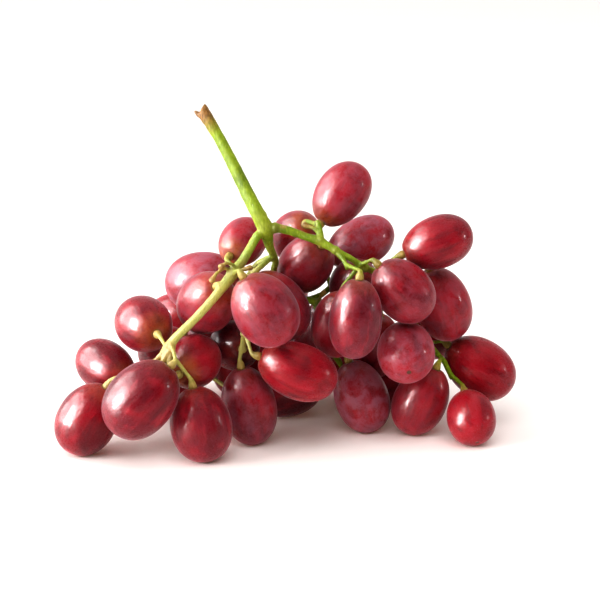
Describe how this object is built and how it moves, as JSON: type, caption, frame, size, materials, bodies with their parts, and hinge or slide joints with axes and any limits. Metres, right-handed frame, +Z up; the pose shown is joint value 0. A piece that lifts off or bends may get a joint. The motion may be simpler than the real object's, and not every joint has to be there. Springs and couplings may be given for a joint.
{
  "type": "bunch of grapes",
  "caption": "Loose bunch of oval red table grapes lying in a low mound on the surface, with a bare green cut stalk rising from its branching stem.",
  "frame": {"origin": "on the surface that the bunch lies on, under the middle of its bounding box", "axes": "+X along the bunch's longest side, towards the end away from the leaning stalk; +Y from the pictured side to the back; +Z up"},
  "size_m": [0.1536, 0.098, 0.1127],
  "materials": {
    "grape_skin": "dark crimson skin with a pale waxy bloom",
    "green_stem": "fresh yellow-green stalk, brown at its cut end"
  },
  "bodies": {
    "root": {"stem": "green_stem", "grape_01": "grape_skin", "grape_02": "grape_skin", "grape_03": "grape_skin", "grape_04": "grape_skin", "grape_05": "grape_skin", "grape_06": "grape_skin", "grape_07": "grape_skin", "grape_08": "grape_skin", "grape_09": "grape_skin", "grape_10": "grape_skin", "grape_11": "grape_skin", "grape_12": "grape_skin", "grape_13": "grape_skin", "grape_14": "grape_skin", "grape_15": "grape_skin", "grape_16": "grape_skin", "grape_17": "grape_skin", "grape_18": "grape_skin", "grape_19": "grape_skin", "grape_20": "grape_skin", "grape_21": "grape_skin", "grape_22": "grape_skin", "grape_23": "grape_skin", "grape_24": "grape_skin", "grape_25": "grape_skin", "grape_26": "grape_skin", "grape_27": "grape_skin", "grape_28": "grape_skin", "grape_29": "grape_skin", "grape_30": "grape_skin", "grape_31": "grape_skin", "grape_32": "grape_skin", "grape_33": "grape_skin", "grape_34": "grape_skin", "grape_35": "grape_skin", "grape_36": "grape_skin", "grape_37": "grape_skin", "grape_38": "grape_skin", "grape_39": "grape_skin", "grape_40": "grape_skin", "grape_41": "grape_skin", "grape_42": "grape_skin", "grape_43": "grape_skin", "grape_44": "grape_skin", "grape_45": "grape_skin", "grape_46": "grape_skin", "grape_47": "grape_skin"}
  },
  "joints": []
}
